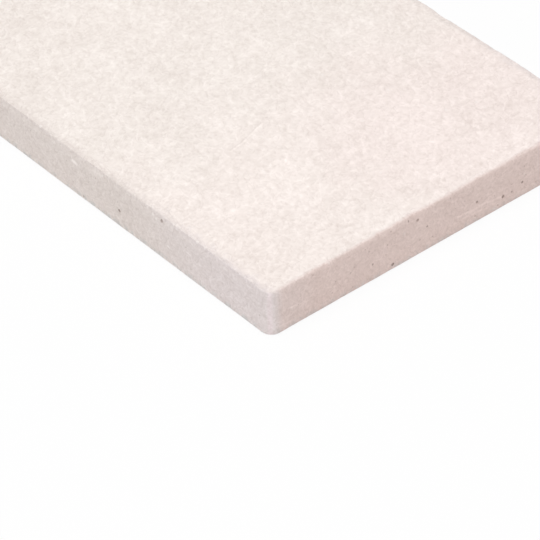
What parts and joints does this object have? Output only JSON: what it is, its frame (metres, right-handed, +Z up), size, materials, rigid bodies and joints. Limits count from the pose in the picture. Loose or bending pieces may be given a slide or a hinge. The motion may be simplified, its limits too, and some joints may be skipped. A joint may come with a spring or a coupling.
{
  "type": "gypsum roof board",
  "caption": "Cut piece of gypsum-fibre roof board: a flat, solid pressed panel with square sides, rounded upright corners and eased arrises, laid under a roof membrane.",
  "frame": {"origin": "centre of the underside, on the surface that the board lies on", "axes": "+Y along the length of the piece, +X across its width, +Z up through its thickness, out of the face that takes the membrane"},
  "size_m": [0.1016, 0.1524, 0.0127],
  "materials": {
    "gypsum_fibre": "matte"
  },
  "bodies": {
    "root": {"roof_board": "gypsum_fibre"}
  },
  "joints": []
}
